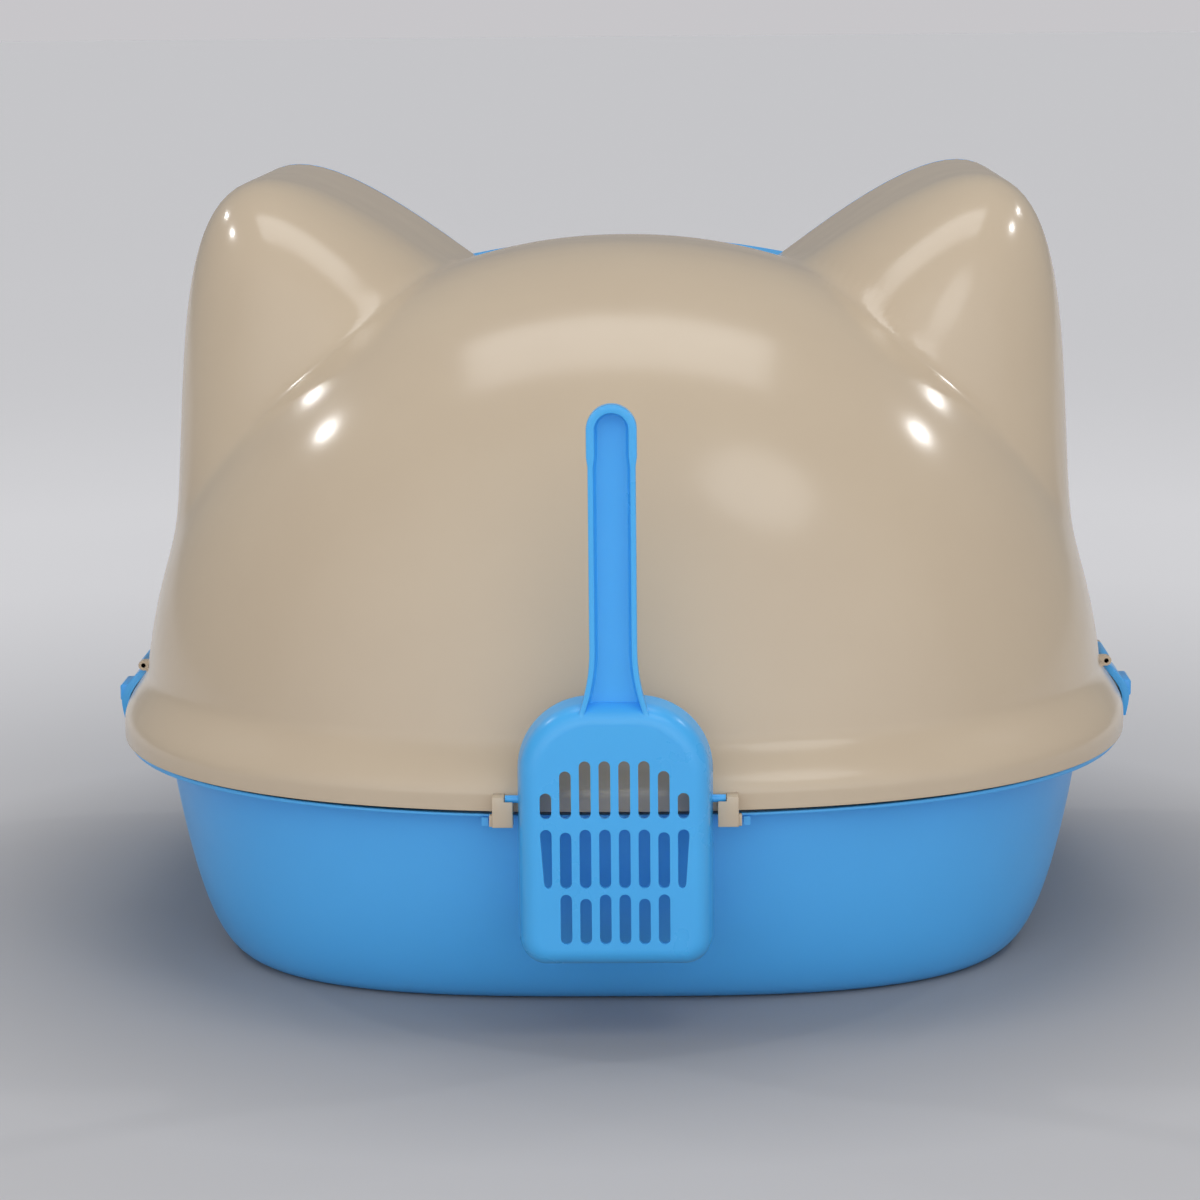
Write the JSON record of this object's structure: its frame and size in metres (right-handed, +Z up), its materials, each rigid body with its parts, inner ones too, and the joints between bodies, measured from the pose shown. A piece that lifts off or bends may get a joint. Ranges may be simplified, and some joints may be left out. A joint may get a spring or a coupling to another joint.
{
  "type": "hooded litter box",
  "caption": "Hooded litter box shaped like a cat's head, with a lift-off hood, side latches, swinging flap door and a slotted scoop hung at the back.",
  "frame": {"origin": "centre of the tray's base, on the floor", "axes": "+Z up, entrance faces -Y, scoop hangs at +Y, X is the width"},
  "size_m": [0.5282, 0.4951, 0.3783],
  "materials": {
    "blue_plastic": "injection-moulded polypropylene, satin sky blue",
    "cream_plastic": "injection-moulded polypropylene, glossy cream",
    "scoop_plastic": "injection-moulded polypropylene, brighter sky blue",
    "clear_plastic": "translucent smoky-clear sheet",
    "steel": "plain drawn steel wire"
  },
  "bodies": {
    "base": {"tray": "blue_plastic"},
    "hood": {"hood": "cream_plastic", "front_panel": "blue_plastic", "flap_rod": "steel", "latch_pin_left": "steel", "latch_pin_right": "steel", "rear_clip_left": "cream_plastic", "rear_clip_right": "cream_plastic"},
    "flap": {"flap_door": "clear_plastic"},
    "left_latch": {"latch_left": "blue_plastic"},
    "right_latch": {"latch_right": "blue_plastic"},
    "scoop": {"scoop": "scoop_plastic"}
  },
  "joints": [
    {"name": "hood_lift", "type": "slide", "parent": "base", "child": "hood", "axis": [0, 0, 1], "range_m": [0, 0.15]},
    {"name": "flap_swing", "type": "hinge", "parent": "hood", "child": "flap", "pos_m": [0, -0.2065, 0.29249], "axis": [1, 0, 0], "range_deg": [-80, 80]},
    {"name": "left_latch_swing", "type": "hinge", "parent": "hood", "child": "left_latch", "pos_m": [-0.2497, 0, 0.131], "axis": [0, 1, 0], "range_deg": [0, 95]},
    {"name": "right_latch_swing", "type": "hinge", "parent": "hood", "child": "right_latch", "pos_m": [0.2497, 0, 0.131], "axis": [0, -1, 0], "range_deg": [0, 95]},
    {"name": "scoop_lift", "type": "slide", "parent": "hood", "child": "scoop", "axis": [0, 0, 1], "range_m": [0, 0.06]}
  ]
}
